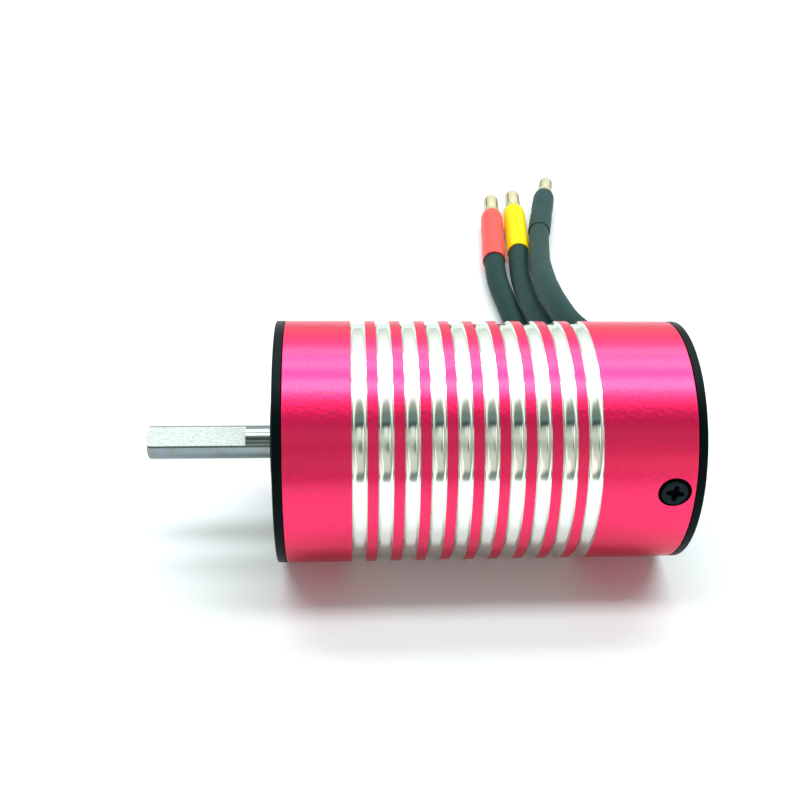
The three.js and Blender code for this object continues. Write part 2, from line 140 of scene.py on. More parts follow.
LEAD_RADIUS = 2.25 * MM
LEAD_SPACING = 5.6 * MM
LEAD_STATION = REAR - 5.1 * MM
LEAD_ELEVATION = SCREW_ELEVATION + math.pi
GROMMET_LIP = 0.75 * MM
GROMMET_SINK = 0.25 * MM
GROMMET_FIT = 0.06 * MM
GROMMET_REACH = 8 * MM
WINDOW_GAP = 0.15 * MM
WINDOW_OPENING = 2 * MM
SLEEVE_RADIUS = 2.55 * MM
SLEEVE_WALL = 0.26 * MM
SLEEVE_LAP = 0.6 * MM
SLEEVE_TAPER = 1.9 * MM
BULLET_RADIUS = 1.75 * MM
BULLET_NECK = BULLET_RADIUS - 0.12 * MM
BULLET_REACH = 9 * MM
BULLET_CUP = 7 * MM
BULLET_SHOULDER = 2 * MM
BULLET_NOSE = 1.2 * MM
BULLET_BORE = 0.7 * MM
BULLET_SLITS = 4
SLIT_WIDTH = 0.25 * MM
SLIT_LENGTH = 6.2 * MM

# Steps round a turned piece, across a groove and in a rounded corner
ROUND_STEPS = 360
SMALL_STEPS = 96
GROOVE_STEPS = 16
CORNER_STEPS = 4
SHARP_ANGLE = math.radians(32)

# The leads' routes in millimetres: from inside the grommet to the sleeve, then the sleeve's heading.
# exit is where the lead leaves the grommet, and length is the lead's own, in metres.
LEADS = {
    "a": {
        "colour": "red",
        "exit": (34.4, 15.9, 8.3),
        "length": 0.073,
        "points": [
            (34.4, 12.6, 9.1), (34.4, 18.1, 7.8), (33.2, 25.5, 6.3), (30.8, 33, 4.9),
            (28.4, 41, 3.5), (26.2, 49.5, 2.6), (24.5, 58.5, 2.25), (23.5, 66.5, 2.25),
            (22.8, 75, 2.3), (23, 83.5, 2.55),
        ],
        "sleeve_to": (24.9, 105, 2.55),
    },
    "b": {
        "colour": "yellow",
        "exit": (34.4, 17.2, 13.7),
        "length": 0.0754,
        "points": [
            (34.4, 13.9, 14.6), (34.4, 19.4, 13.2), (33, 27.5, 11.7), (30.6, 35.5, 10.6),
            (28.7, 43.5, 9.3), (27.6, 52, 7.7), (27.4, 60.5, 5.9), (27.5, 69, 4.3),
            (28, 78, 3.1), (29, 87.4, 2.55),
        ],
        "sleeve_to": (30.5, 107.5, 2.55),
    },
    "c": {
        "colour": "black",
        "exit": (34.4, 18.5, 19.2),
        "length": 0.0834,
        "points": [
            (34.4, 15.2, 20), (34.4, 20.8, 18.7), (32.6, 27.5, 17.8), (30.2, 34.5, 16.9),
            (29.2, 43.5, 15.4), (29.2, 53, 13.4), (29.9, 62.5, 11), (30.9, 72, 8.7),
            (32.4, 81, 6.5), (33.6, 88.5, 4.9), (34.9, 95.8, 3.4),
        ],
        "sleeve_to": (39.2, 116, 2.55),
    },
}

# The camera, fitted to the can's rims and the shaft in the photograph
CAMERA_PLACE = Vector((-11.03, -127.82, 119.6)) * MM
CAMERA_TURN = [math.radians(angle) for angle in (51.64, -2.865, -4.351)]
CAMERA_LENS = 48.628
CAMERA_SHIFT = (-0.05, 0.05)

# The studio. Angles are in degrees round the X axis: 0 is the front, 90 the top and 180 the back.
# Its sides are bright overhead and a little dimmer at the back. Its middle is dim at the front,
# with a dark band halfway up. It is built of a few tones.
FLOOR_GLOW = 0.05
FLOOR_SIZE = 1.5
STUDIO_SEEN = 1.25
STUDIO_LIGHT = 0.48
WHITE = "#FFFFFF"
WARM = "#FFF6E8"
PALE = "#D8E0D8"
LIGHT = "#C4C8BC"
GREY = "#A0A498"
DIM = "#647870"
DARK = "#284044"
SIDES = [
    (-180, PALE), (-10, PALE), (4, GREY), (36, GREY), (43, LIGHT), (52, GREY), (66, LIGHT),
    (80, WHITE), (145, WHITE), (180, PALE),
]
MIDDLE = [
    (-180, PALE), (0, GREY), (3, DIM), (7, DIM), (10, LIGHT), (24, LIGHT), (33, GREY),
    (42, LIGHT), (50, GREY), (52, DARK), (55, DARK), (57, DIM), (64, DIM), (74, GREY),
    (84, PALE), (90, WHITE), (145, WHITE), (180, PALE),
]
DIM_FULL = 64
DIM_TOP = 84
DIM_WIDTH = 0.65
DIM_EDGE = 0.2
# angle, share to the right, size and soft edge in degrees, colour
SPOTS = [
    (12, 0.3, 6, 3, WARM),
    (12, 0.6, 12, 5, WARM),
    (3, 0.68, 10, 5, PALE),
    (41, -0.4, 9, 4, WHITE),
    (46, 0.04, 4, 2, PALE),
    (32, -0.05, 4, 3, DIM),
    (24, -0.6, 14, 6, GREY),
]
# name, angle, angle to the right, level, width, length
LAMPS = [
    ("top_lamp", 91, 4, 0.41, 12, 70),
    ("back_lamp", 114, 4, 0.28, 11, 70),
    ("low_lamp", 130, 4, 0.18, 10, 70),
]
LAMP_DISTANCE = 6.0


# Materials
# The sockets of a mix node for colours, and a wave node's scale times its real spacing
MIX_FACTOR, MIX_A, MIX_B, MIX_RESULT = 0, 6, 7, 2
WAVE_SCALE = math.pi / 10


def linear(code):
    """An sRGB hex colour as linear RGBA."""
    parts = [int(code[i:i + 2], 16) / 255 for i in (1, 3, 5)]
    return [c / 12.92 if c <= 0.04045 else ((c + 0.055) / 1.055) ** 2.4 for c in parts] + [1.0]


def add(tree, kind, inputs=None, output=0, **settings):
    """Adds a node with its settings and links, and gives the output that is asked for."""
    made = tree.nodes.new(kind)
    for name, value in settings.items():
        setattr(made, name, value)
    for name, value in (inputs or {}).items():
        if isinstance(value, bpy.types.NodeSocket):
            tree.links.new(value, made.inputs[name])
        else:
            made.inputs[name].default_value = value
    return made.outputs[output] if made.outputs else None


def material(name):
    """An empty material, its node tree and the object coordinates that its patterns use."""
    made = bpy.data.materials.new(name)
    made.use_nodes = True
    tree = made.node_tree
    tree.nodes.clear()
    return made, tree, add(tree, "ShaderNodeTexCoord", output="Object")


def pink_anodising():
    """Aluminium blasted with fine beads, anodised and dyed pink: a satin metal whose grain breaks
    up the edges of a highlight, under a clear oxide that greys it where it is seen edge on. The
    real grain is finer than this one, which is as coarse as shows."""
    made, tree, place = material("pink_anodised_aluminium")
    grain = add(tree, "ShaderNodeTexNoise", {"Vector": place, "Scale": 1 / (0.6 * MM), "Detail": 3.0})
    cloud = add(tree, "ShaderNodeTexNoise", {"Vector": place, "Scale": 1 / (3 * MM), "Detail": 1.0})
    dye = add(tree, "ShaderNodeMix", {
        MIX_FACTOR: grain, MIX_A: linear("#EC054E"), MIX_B: linear("#F61066"),
    }, output=MIX_RESULT, data_type="RGBA")
    satin = add(tree, "ShaderNodeMapRange", {"Value": cloud, "To Min": 0.32, "To Max": 0.38})
    relief = add(tree, "ShaderNodeBump", {"Height": grain, "Distance": 0.055 * MM})
    surface = add(tree, "ShaderNodeBsdfPrincipled", {
        "Base Color": dye,
        "Metallic": 1.0,
        "Specular Tint": linear("#D07C9C"),
        "Roughness": satin,
        "Coat Weight": 0.65,
        "Coat Roughness": 0.24,
        "Coat IOR": 1.6,
        "Normal": relief,
    })
    add(tree, "ShaderNodeOutputMaterial", {"Surface": surface})
    return made


def turned_aluminium():
    """Bare aluminium cut with a sharp tool after the anodising: almost a mirror, with faint tool
    lines round the body. The real lines are finer than these, which are as coarse as shows."""
    made, tree, place = material("turned_aluminium")
    lines = add(tree, "ShaderNodeTexWave", {
        "Vector": place, "Scale": WAVE_SCALE / (0.12 * MM), "Distortion": 0.6, "Detail": 1.0,
    }, output="Fac", bands_direction="X")
    smear = add(tree, "ShaderNodeTexNoise", {"Vector": place, "Scale": 1 / (1.2 * MM), "Detail": 2.0})
    gloss = add(tree, "ShaderNodeMapRange", {"Value": smear, "To Min": 0.06, "To Max": 0.15})
    relief = add(tree, "ShaderNodeBump", {"Height": lines, "Distance": 0.0004 * MM})
    surface = add(tree, "ShaderNodeBsdfPrincipled", {
        "Base Color": linear("#EEF2ED"),
        "Metallic": 1.0,
        "Specular Tint": linear("#D8E0DA"),
        "Roughness": gloss,
        "Normal": relief,
    })
    add(tree, "ShaderNodeOutputMaterial", {"Surface": surface})
    return made


def black_anodising():
    """Turned aluminium, dyed black in the anodising bath: a deep satin black, slightly blue, with
    the tool's rings showing on its ends."""
    made, tree, place = material("black_anodised_aluminium")
    centred = add(tree, "ShaderNodeMapping", {"Vector": place, "Location": (0, 0, -AXIS_HEIGHT)})
    rings = add(tree, "ShaderNodeTexWave", {
        "Vector": centred, "Scale": WAVE_SCALE / (0.16 * MM), "Distortion": 0.3,
    }, output="Fac", wave_type="RINGS", rings_direction="X")
    mist = add(tree, "ShaderNodeTexNoise", {"Vector": place, "Scale": 1 / (0.35 * MM), "Detail": 2.0})
    dye = add(tree, "ShaderNodeMix", {
        MIX_FACTOR: mist, MIX_A: linear("#010608"), MIX_B: linear("#040D10"),
    }, output=MIX_RESULT, data_type="RGBA")
    satin = add(tree, "ShaderNodeMapRange", {"Value": mist, "To Min": 0.34, "To Max": 0.46})
    relief = add(tree, "ShaderNodeBump", {"Height": rings, "Distance": 0.0008 * MM})
    surface = add(tree, "ShaderNodeBsdfPrincipled", {
        "Base Color": dye,
        "Roughness": satin,
        "Specular IOR Level": 0.08,
        "Specular Tint": linear("#B8F0EE"),
        "Normal": relief,
    })
    add(tree, "ShaderNodeOutputMaterial", {"Surface": surface})
    return made


def black_oxide():
    """Steel blackened in hot oxide and oiled: a thin black skin with a soft grey gloss."""
    made, tree, place = material("black_oxide_steel")
    skin = add(tree, "ShaderNodeTexNoise", {"Vector": place, "Scale": 1 / (0.2 * MM), "Detail": 2.0})
    tone = add(tree, "ShaderNodeMix", {
        MIX_FACTOR: skin, MIX_A: linear("#04161A"), MIX_B: linear("#0C2428"),
    }, output=MIX_RESULT, data_type="RGBA")
    gloss = add(tree, "ShaderNodeMapRange", {"Value": skin, "To Min": 0.28, "To Max": 0.42})
    relief = add(tree, "ShaderNodeBump", {"Height": skin, "Distance": 0.01 * MM})
    surface = add(tree, "ShaderNodeBsdfPrincipled", {
        "Base Color": tone,
        "Metallic": 0.3,
        "Roughness": gloss,
        "Specular IOR Level": 0.16,
        "Normal": relief,
    })
    add(tree, "ShaderNodeOutputMaterial", {"Surface": surface})
    return made


def ground_steel():
    """Hardened steel, ground between centres: a grey shine with fine rings round the shaft and a
    film of oil that browns it in places."""
    made, tree, place = material("ground_steel")
    around = add(tree, "ShaderNodeMapping", {"Vector": place, "Scale": (1 / 0.03, 1, 1)})
    rings = add(tree, "ShaderNodeTexNoise", {"Vector": around, "Scale": 1 / (2 * MM), "Detail": 2.0})
    film = add(tree, "ShaderNodeTexNoise", {"Vector": place, "Scale": 1 / (1.6 * MM), "Detail": 3.0})
    oil = add(tree, "ShaderNodeMapRange", {"Value": film, "From Min": 0.4, "From Max": 0.75})
    tone = add(tree, "ShaderNodeMix", {
        MIX_FACTOR: oil, MIX_A: linear("#86949A"), MIX_B: linear("#848780"),
    }, output=MIX_RESULT, data_type="RGBA")
    gloss = add(tree, "ShaderNodeMapRange", {"Value": film, "To Min": 0.07, "To Max": 0.2})
    relief = add(tree, "ShaderNodeBump", {"Height": rings, "Distance": 0.001 * MM})
    surface = add(tree, "ShaderNodeBsdfPrincipled", {
        "Base Color": tone,
        "Metallic": 1.0,
        "Roughness": gloss,
        "Normal": relief,
    })
    add(tree, "ShaderNodeOutputMaterial", {"Surface": surface})
    return made


def milled_steel():
    """The shaft's flat, milled after the grinding: paler and duller, with short marks along it."""
    made, tree, place = material("milled_steel")
    drawn_out = add(tree, "ShaderNodeMapping", {"Vector": place, "Scale": (1 / 2.5, 1, 1)})
    marks = add(tree, "ShaderNodeTexNoise", {
        "Vector": drawn_out, "Scale": 1 / (0.2 * MM), "Detail": 3.0,
    })
    worn = add(tree, "ShaderNodeMapRange", {"Value": marks, "From Min": 0.35, "From Max": 0.65})
    tone = add(tree, "ShaderNodeMix", {
        MIX_FACTOR: worn, MIX_A: linear("#98A3A2"), MIX_B: linear("#B9C1BD"),
    }, output=MIX_RESULT, data_type="RGBA")
    gloss = add(tree, "ShaderNodeMapRange", {"Value": marks, "To Min": 0.5, "To Max": 0.7})
    relief = add(tree, "ShaderNodeBump", {"Height": marks, "Distance": 0.004 * MM})
    surface = add(tree, "ShaderNodeBsdfPrincipled", {
        "Base Color": tone,
        "Metallic": 1.0,
        "Roughness": gloss,
        "Normal": relief,
    })
    add(tree, "ShaderNodeOutputMaterial", {"Surface": surface})
    return made


def soft_skin(name, dark, light, roughness, gloss):
    """Silicone, rubber, shrunk tube or a dull skin: matt and slightly dusty, with a weak sheen. It also
    gives the nearly black painted shade in the counterbores and the cross recesses.
    """
    made, tree, place = material(name)
    dust = add(tree, "ShaderNodeTexNoise", {"Vector": place, "Scale": 1 / (0.4 * MM), "Detail": 3.0})
    worn = add(tree, "ShaderNodeMapRange", {"Value": dust, "From Min": 0.3, "From Max": 0.7})
    tone = add(tree, "ShaderNodeMix", {
        MIX_FACTOR: worn, MIX_A: linear(dark), MIX_B: linear(light),
    }, output=MIX_RESULT, data_type="RGBA")
    handled = add(tree, "ShaderNodeTexNoise", {"Vector": place, "Scale": 1 / (3 * MM), "Detail": 1.0})
    matt = add(tree, "ShaderNodeMapRange", {
        "Value": handled, "To Min": roughness - 0.08, "To Max": roughness + 0.08,
    })
    relief = add(tree, "ShaderNodeBump", {"Height": dust, "Distance": 0.012 * MM})
    surface = add(tree, "ShaderNodeBsdfPrincipled", {
        "Base Color": tone,
        "Roughness": matt,
        "Specular IOR Level": gloss,
        "Normal": relief,
    })
    add(tree, "ShaderNodeOutputMaterial", {"Surface": surface})
    return made


def bright_metal(name, dark, light, roughness, grain):
    """Metal left plain, plated or turned: a clean shine with a slight cloudiness."""
    made, tree, place = material(name)
    cloud = add(tree, "ShaderNodeTexNoise", {"Vector": place, "Scale": 1 / grain, "Detail": 2.0})
    tone = add(tree, "ShaderNodeMix", {
        MIX_FACTOR: cloud, MIX_A: linear(dark), MIX_B: linear(light),
    }, output=MIX_RESULT, data_type="RGBA")
    gloss = add(tree, "ShaderNodeMapRange", {
        "Value": cloud, "To Min": roughness, "To Max": roughness + 0.12,
    })
    relief = add(tree, "ShaderNodeBump", {"Height": cloud, "Distance": 0.002 * MM})
    surface = add(tree, "ShaderNodeBsdfPrincipled", {
        "Base Color": tone,
        "Metallic": 1.0,
        "Roughness": gloss,
        "Normal": relief,
    })
    add(tree, "ShaderNodeOutputMaterial", {"Surface": surface})
    return made


def layered(name, dark, light, spacing, metallic, roughness):
    """Thin layers side by side along the axis, such as stamped laminations, wire or wound fibre."""
    made, tree, place = material(name)
    layers = add(tree, "ShaderNodeTexWave", {
        "Vector": place, "Scale": WAVE_SCALE / spacing, "Distortion": 0.4, "Detail": 1.0,
    }, output="Fac", bands_direction="X")
    tone = add(tree, "ShaderNodeMix", {
        MIX_FACTOR: layers, MIX_A: linear(dark), MIX_B: linear(light),
    }, output=MIX_RESULT, data_type="RGBA")
    cloud = add(tree, "ShaderNodeTexNoise", {"Vector": place, "Scale": 1 / (0.5 * MM), "Detail": 2.0})
    gloss = add(tree, "ShaderNodeMapRange", {
        "Value": cloud, "To Min": roughness, "To Max": roughness + 0.15,
    })
    relief = add(tree, "ShaderNodeBump", {"Height": layers, "Distance": 0.03 * MM})
    surface = add(tree, "ShaderNodeBsdfPrincipled", {
        "Base Color": tone,
        "Metallic": metallic,
        "Roughness": gloss,
        "Normal": relief,
    })
    add(tree, "ShaderNodeOutputMaterial", {"Surface": surface})
    return made


PINK = pink_anodising()
BRIGHT = turned_aluminium()
BLACK = black_anodising()
OXIDE = black_oxide()
GROUND = ground_steel()
MILLED = milled_steel()
BEARING = bright_metal("bearing_steel", "#B4B8BA", "#D6D9DA", 0.14, 0.4 * MM)
NICKEL = bright_metal("nickel_plated_magnet", "#8E959B", "#A9AFB4", 0.22, 0.4 * MM)
BRASS = bright_metal("turned_brass", "#B8923A", "#D6B45A", 0.2, 0.4 * MM)
GOLD = bright_metal("gold_plated_brass", "#B4B190", "#C6C3A4", 0.4, 0.5 * MM)
LAMINATION = layered("stamped_laminations", "#3C4046", "#6A7077", 0.35 * MM, 0.9, 0.4)
COPPER = layered("enamelled_copper_wire", "#7C3312", "#CC7338", 0.5 * MM, 1.0, 0.25)
BANDING = layered("wound_fibre_band", "#A8913A", "#D9C774", 0.25 * MM, 0.0, 0.45)
PAPER = soft_skin("slot_insulator", "#DDD6BE", "#EFE9D6", 0.6, 0.4)
WIRE = soft_skin("silicone_wire_insulation", "#1B3836", "#264543", 0.6, 0.1)
RUBBER = soft_skin("moulded_rubber", "#0E1516", "#182021", 0.7, 0.35)
RED_TUBE = soft_skin("red_shrink_tube", "#EE4B46", "#F65852", 0.5, 0.35)
YELLOW_TUBE = soft_skin("yellow_shrink_tube", "#FFDA00", "#FFEC00", 0.5, 0.14)
BLACK_TUBE = soft_skin("black_shrink_tube", "#1E3C3A", "#294947", 0.55, 0.12)
# The counterbores' walls and the crosses punched in the screws get a matt, nearly black painted shade.
# It replaces the pink dye and the black oxide that they really have.
PAINTED_BORE_SHADE = soft_skin("bore_painted_shade", "#26030E", "#340515", 0.7, 0.1)
PAINTED_RECESS_SHADE = soft_skin("recess_painted_shade", "#010304", "#030708", 0.7, 0.05)


# Shapes
def rounded(corners):
    """A closed outline of (station, radius, rounding) corners, each rounding drawn as a curve."""
    points = []
    for i, (station, radius, rounding) in enumerate(corners):
        corner = Vector((station, radius))
        if not rounding:
            points.append(corner)
            continue
        before = Vector(corners[i - 1][:2]) - corner
        after = Vector(corners[(i + 1) % len(corners)][:2]) - corner
        start = corner + before.normalized() * rounding
        end = corner + after.normalized() * rounding
        for step in range(CORNER_STEPS + 1):
            t = step / CORNER_STEPS
            points.append(start.lerp(corner, t).lerp(corner.lerp(end, t), t))
    return points


def spun(outline, steps, closed=True):
    """A bmesh of an outline turned about the X axis."""
    bm = bmesh.new()
    verts = [bm.verts.new((x, 0, radius)) for x, radius in outline]
    pairs = list(zip(verts, verts[1:] + verts[:1] if closed else verts[1:]))
    edges = [bm.edges.new(pair) for pair in pairs]
    bmesh.ops.spin(
        bm, geom=verts + edges, cent=(0, 0, 0), axis=(1, 0, 0), dvec=(0, 0, 0),
        angle=2 * math.pi, steps=steps, use_merge=True,
    )
    bmesh.ops.remove_doubles(bm, verts=bm.verts, dist=1e-7)
    bmesh.ops.recalc_face_normals(bm, faces=bm.faces)
    return bm


def box_between(low, high):
    """A bmesh block between two corners."""
    bm = bmesh.new()
    middle = (Vector(low) + Vector(high)) / 2
    size = Vector(high) - Vector(low)
    bmesh.ops.create_cube(bm, size=1, matrix=Matrix.Translation(middle) @ Matrix.Diagonal((*size, 1)))
    return bm


def bevel_along(bm, direction, offset, segments):
    """Rounds the edges of a block that run along a direction."""
    along = Vector(direction)
    edges = [
        e for e in bm.edges
        if abs((e.verts[1].co - e.verts[0].co).normalized().dot(along)) > 0.99
    ]
    bmesh.ops.bevel(
        bm, geom=edges, offset=offset, segments=segments, profile=0.5, material=-1, affect="EDGES",
    )


ON_AXIS = Matrix.Translation((0, 0, AXIS_HEIGHT))
UNMOVED = Matrix.Identity(4)


def radial(elevation, station):
    """Stands something built along +X from the axis out of the body, at an angle above -Y."""
    out = Vector((0, -math.cos(elevation), math.sin(elevation)))
    along = Vector((1, 0, 0))
    across = out.cross(along)
    basis = Matrix((out, along, across)).transposed().to_4x4()
    return Matrix.Translation((station, 0, AXIS_HEIGHT)) @ basis


def piece(name, bm, finish, place=ON_AXIS):
    """Makes an object of a bmesh, with its place in its mesh."""
    bmesh.ops.transform(bm, matrix=place, verts=bm.verts)
    mesh = bpy.data.meshes.new(name)
    bm.to_mesh(mesh)
    bm.free()
    made = bpy.data.objects.new(name, mesh)
    bpy.context.scene.collection.objects.link(made)
    mesh.materials.append(finish)
    return made


def cut(body, cutters):
    """Cuts the cutters out of a body, and removes them. A cut face gets its cutter's material."""
    for cutter in cutters:
        step = body.modifiers.new("cut", "BOOLEAN")
        step.operation = "DIFFERENCE"
        step.solver = "EXACT"
        step.material_mode = "TRANSFER"
        step.object = cutter
    bpy.context.view_layer.update()
    whole = body.evaluated_get(bpy.context.evaluated_depsgraph_get())
    mesh = bpy.data.meshes.new_from_object(whole)
    body.modifiers.clear()
    body.data = mesh
    for cutter in cutters:
        bpy.data.objects.remove(cutter)
    return body


def smoothed(made):
    """Smooth shading that keeps sharp edges sharp and flat faces flat."""
    made.data.shade_smooth()
    made.data.set_sharp_from_angle(angle=SHARP_ANGLE)
    weighted = made.modifiers.new("even shading", "WEIGHTED_NORMAL")
    weighted.keep_sharp = True
    return made


def dress(made, body, slot, *nodes):
    """Puts a piece on its body in place of the CAD nodes that it stands for."""
    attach(made, body)
    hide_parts(*nodes)


# Can
def groove_outline(start):
    """The points of one groove: nearly flat along its bottom, and steeper towards its edges."""
    shares = [2 * i / GROOVE_STEPS - 1 for i in range(GROOVE_STEPS + 1)]
    return [
        (start + GROOVE_WIDTH * (1 + share) / 2,
         BODY_RADIUS - GROOVE_DEPTH * (1 - abs(share) ** GROOVE_FLATNESS), 0)
        for share in shares
    ]


def in_groove(face):
    """Tells whether a face of the can is a groove's, which has no anodising left."""
    middle = face.calc_center_median()
    depth = BODY_RADIUS - math.hypot(middle.y, middle.z)
    station = (middle.x - FIRST_GROOVE) % GROOVE_PITCH
    inside = FIRST_GROOVE < middle.x < FIRST_GROOVE + GROOVES * GROOVE_PITCH
    return inside and station < GROOVE_WIDTH and 2e-6 < depth < 2 * GROOVE_DEPTH


def lead_window(ahead, behind):
    """The cutter of the window that the grommet fills in the can and the rear endbell, made longer
    towards the front or the rear where it is open at that edge."""
    half = LEAD_SPACING + LEAD_RADIUS + GROMMET_LIP + WINDOW_GAP
    depth = LEAD_RADIUS + GROMMET_LIP + WINDOW_GAP
    bm = box_between((10 * MM, -depth, -half), (BODY_RADIUS + OVERRUN, depth, half))
    bevel_along(bm, (1, 0, 0), 1.2 * MM, 6)
    for vert in bm.verts:
        vert.co.y += behind if vert.co.y > 0 else -ahead
    return bm


def can():
    """The tube, its grooves, the screws' counterbores and the leads' window."""
    corners = [(CAN_FRONT, BODY_RADIUS, EDGE)]
    for i in range(GROOVES):
        corners += groove_outline(FIRST_GROOVE + i * GROOVE_PITCH)
    corners += [(CAN_REAR, BODY_RADIUS, EDGE), (CAN_REAR, CAN_BORE, EDGE), (CAN_FRONT, CAN_BORE, EDGE)]
    bm = spun(rounded(corners), ROUND_STEPS)
    for face in bm.faces:
        face.material_index = int(in_groove(face))
    made = piece("can_shell", bm, PINK)
    made.data.materials.append(BRIGHT)
    seat = BODY_RADIUS - SCREW_SINK - SCREW_HEAD_HEIGHT
    hole = rounded([
        (CAN_BORE - OVERRUN, 0, 0), (CAN_BORE - OVERRUN, SCREW_SEAT, 0), (seat, SCREW_SEAT, 0),
        (seat, SCREW_HOLE, 0), (BODY_RADIUS + OVERRUN, SCREW_HOLE, 0), (BODY_RADIUS + OVERRUN, 0, 0),
    ])
    # The counterbores' walls take their cutters' nearly black painted shade.
    cutters = [
        piece(f"cutter_{i}", spun(hole, SMALL_STEPS, closed=False), PAINTED_BORE_SHADE,
              radial(angle, SCREW_STATION) @ Matrix.Diagonal((1, *HOLE_OVAL, 1)))
        for i, angle in enumerate(screw_angles())
    ]
    window = lead_window(0, WINDOW_OPENING)
    cutters.append(piece("cutter_window", window, PINK, radial(LEAD_ELEVATION, LEAD_STATION)))
    return smoothed(cut(made, cutters))


def screw_angles():
    """The screws' angles above -Y, the visible one first."""
    return [SCREW_ELEVATION + i * 2 * math.pi / SCREWS for i in range(SCREWS)]


# Endbells
def threaded_hole(depth):
    """The cutter of a tapped M3 hole with a countersunk mouth, its thread drawn as ridges."""
    outline = [(-OVERRUN, 0, 0), (-OVERRUN, THREAD_MAJOR + OVERRUN, 0), (0.15 * MM, THREAD_MAJOR, 0)]
    station = 0.3 * MM
    while station < depth:
        outline += [(station, THREAD_MINOR, 0), (station + THREAD_PITCH / 2, THREAD_MAJOR, 0)]
        station += THREAD_PITCH
    outline += [(depth + OVERRUN, THREAD_MINOR, 0), (depth + OVERRUN, 0, 0)]
    return spun(rounded(outline), SMALL_STEPS // 2, closed=False)


def front_endbell():
    """The front cover: a flange, a spigot in the can, a boss, a bearing pocket and four M3 holes."""
    flange = CAN_FRONT - FLANGE_GAP
    pocket = FRONT + BEARING_DEPTH
    hub_end = pocket + BEARING_WIDTH
    bearing = BEARING_RADIUS + BEARING_FIT
    bm = spun(rounded([
        (FRONT - BOSS_HEIGHT, SHAFT_HOLE, 0.2 * MM), (FRONT - BOSS_HEIGHT, BOSS_RADIUS, 0.2 * MM),
        (FRONT, BOSS_RADIUS, 0.1 * MM), (FRONT, BODY_RADIUS, BELL_EDGE), (flange, BODY_RADIUS, EDGE / 2),
        (flange, SPIGOT_RADIUS, 0), (SPIGOT_END, SPIGOT_RADIUS, 0.2 * MM),
        (SPIGOT_END, SPIGOT_BORE, 0.2 * MM), (FRONT + FRONT_PLATE, SPIGOT_BORE, 0.5 * MM),
        (FRONT + FRONT_PLATE, HUB_RADIUS, 0.3 * MM),
        (hub_end, HUB_RADIUS, 0.2 * MM), (hub_end, bearing, 0.1 * MM), (pocket, bearing, 0),
        (pocket, SHAFT_HOLE, 0.1 * MM),
    ]), ROUND_STEPS)
    made = piece("front_cover", bm, BLACK)
    cutters = []
    for i in range(MOUNT_HOLES):
        angle = (i + 0.5) * 2 * math.pi / MOUNT_HOLES
        side, rise = MOUNT_CIRCLE * math.cos(angle), MOUNT_CIRCLE * math.sin(angle)
        place = ON_AXIS @ Matrix.Translation((FRONT, side, rise))
        cutters.append(piece(f"cutter_{i}", threaded_hole(FRONT_PLATE), BLACK, place))
    return smoothed(cut(made, cutters))


def rear_endbell():
    """The rear cover: a flange, a spigot that the screws hold, a bearing hub and the shaft's hole."""
    flange = CAN_REAR + FLANGE_GAP
    hub_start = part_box("rear_bearing_outer_ring")[0].x
    pocket = REAR - REAR_BEARING_DEPTH
    inside = REAR - REAR_PLATE
    bearing = BEARING_RADIUS + BEARING_FIT
    bm = spun(rounded([
        (hub_start, bearing, 0.1 * MM), (hub_start, HUB_RADIUS, 0.2 * MM),
        (inside, HUB_RADIUS, 0.3 * MM), (inside, SPIGOT_BORE, 0.3 * MM),
        (SPIGOT_START, SPIGOT_BORE, 0.2 * MM), (SPIGOT_START, SPIGOT_RADIUS, 0.2 * MM),
        (flange, SPIGOT_RADIUS, 0), (flange, BODY_RADIUS, EDGE / 2), (REAR, BODY_RADIUS, BELL_EDGE),
        (REAR, SHAFT_HOLE, 0.25 * MM), (pocket, SHAFT_HOLE, 0.1 * MM), (pocket, bearing, 0),
    ]), ROUND_STEPS)
    made = piece("rear_cover", bm, BLACK)
    tap = rounded([
        (SPIGOT_BORE - OVERRUN, 0, 0), (SPIGOT_BORE - OVERRUN, SCREW_TAP, 0),
        (BODY_RADIUS, SCREW_TAP, 0), (BODY_RADIUS, 0, 0),
    ])
    cutters = [
        piece(f"cutter_{i}", spun(tap, SMALL_STEPS // 2, closed=False), BLACK, screw_place(angle))
        for i, angle in enumerate(screw_angles())
    ]
    window = lead_window(WINDOW_OPENING, 0)
    cutters.append(piece("cutter_window", window, BLACK, radial(LEAD_ELEVATION, LEAD_STATION)))
    return smoothed(cut(made, cutters))


# Rear screws
def screw_place(angle):
    """Where something built along +X stands for a screw, off the middle of its hole in the can."""
    across, along = SCREW_SHIFT
    oval = Matrix.Diagonal((1, *SCREW_OVAL, 1))
    return radial(angle, SCREW_STATION) @ Matrix.Translation((0, along, across)) @ oval


def cross_arm(top, reach, width, mouth):
    """The cutter of one arm pair of a cross recess: round ends, and walls that lean in."""
    arm = box_between((top - CROSS_DEPTH, -reach, -width), (top + mouth, reach, width))
    bevel_along(arm, (1, 0, 0), 0.85 * min(reach, width), 5)
    for vert in arm.verts:
        if vert.co.x < top:
            vert.co.y *= CROSS_LEAN
            vert.co.z *= CROSS_LEAN
    return arm


